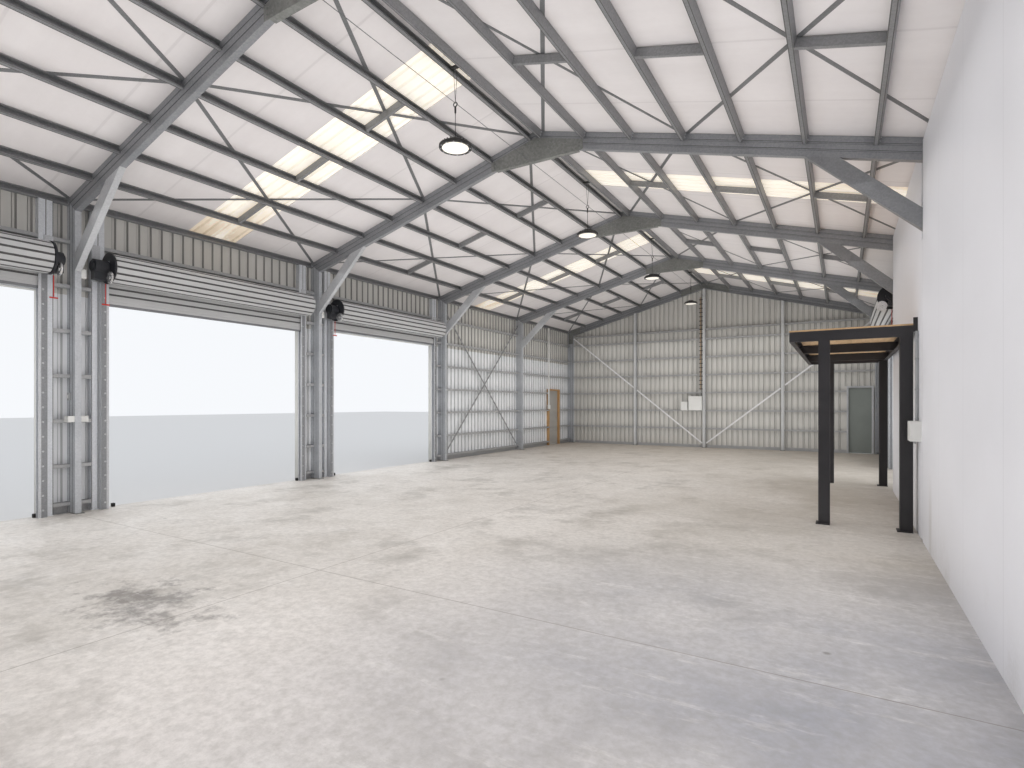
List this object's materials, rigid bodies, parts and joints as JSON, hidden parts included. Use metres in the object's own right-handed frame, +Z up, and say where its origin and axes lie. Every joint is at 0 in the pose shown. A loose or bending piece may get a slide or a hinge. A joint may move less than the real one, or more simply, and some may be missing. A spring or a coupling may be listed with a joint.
{
  "type": "steel portal frame factory building",
  "caption": "Steel portal frame factory building with ribbed cladding, roller doorways, skylights, a side platform and hinged personnel doors.",
  "frame": {"origin": "centre of the footprint at the underside of the floor slab", "axes": "+Z up, +Y along the building towards the rear gable, +X towards the wall lined with white panels"},
  "size_m": [10.92, 25.3093, 6.0766],
  "materials": {
    "concrete": "matte trowelled concrete",
    "galvanised_steel": "satin galvanised",
    "galvanised_trim": "satin galvanised",
    "wall_cladding": "satin",
    "roof_cladding": "satin",
    "white_lining": "matte foil",
    "skylight": "translucent",
    "white_panel": "satin white",
    "black_steel": "matte black",
    "plywood": "unfinished",
    "timber": "varnished",
    "door_leaf": "satin grey green",
    "motor_black": "matte black",
    "lamp": "black with a white lens",
    "switch_white": "gloss white"
  },
  "bodies": {
    "building": {"floor_slab": "concrete", "column_base_plates": "galvanised_trim", "columns": "galvanised_steel", "left_rafters": "galvanised_steel", "right_rafters": "galvanised_steel", "knee_braces": "galvanised_steel", "haunch_plates": "galvanised_trim", "apex_plates": "galvanised_trim", "roof_purlins": "galvanised_steel", "roof_bridging": "galvanised_steel", "roof_bracing": "galvanised_trim", "roof_sheets": "roof_cladding", "roof_lining": "white_lining", "skylight_sheets": "skylight", "ridge_cap": "roof_cladding", "flashings": "roof_cladding", "gutters": "roof_cladding", "downpipes": "roof_cladding", "side_wall_girts": "galvanised_steel", "gable_girts": "galvanised_steel", "gable_mullions": "galvanised_steel", "doorway_framing": "galvanised_steel", "side_wall_lower_sheets": "wall_cladding", "side_wall_upper_sheets": "wall_cladding", "side_door_over_sheet": "wall_cladding", "rear_wall_lower_sheets": "wall_cladding", "gable_sheets": "wall_cladding", "white_wall": "white_panel", "wall_bracing": "galvanised_trim", "roller_door_curtains": "wall_cladding", "roller_door_guides": "galvanised_trim", "roller_door_brackets": "galvanised_trim", "roller_door_motors": "motor_black", "side_door_frame": "timber", "rear_door_frame": "galvanised_trim", "platform_posts": "black_steel", "platform_beams": "black_steel", "platform_deck": "plywood", "high_bay_lamps": "lamp", "lamp_wire": "galvanised_trim", "switchboard": "switch_white", "cable_ladder": "galvanised_trim", "wall_fittings": "switch_white"},
    "side_door": {"side_door_leaf": "timber"},
    "rear_door": {"rear_door_leaf": "door_leaf"}
  },
  "joints": [
    {"name": "side_door_hinge", "type": "hinge", "parent": "building", "child": "side_door", "pos_m": [-5.338, 10.7165, 0.15], "axis": [0, 0, 1], "range_deg": [0, 100]},
    {"name": "rear_door_hinge", "type": "hinge", "parent": "building", "child": "rear_door", "pos_m": [4.3465, 12.638, 0.15], "axis": [0, 0, 1], "range_deg": [0, 100]}
  ]
}
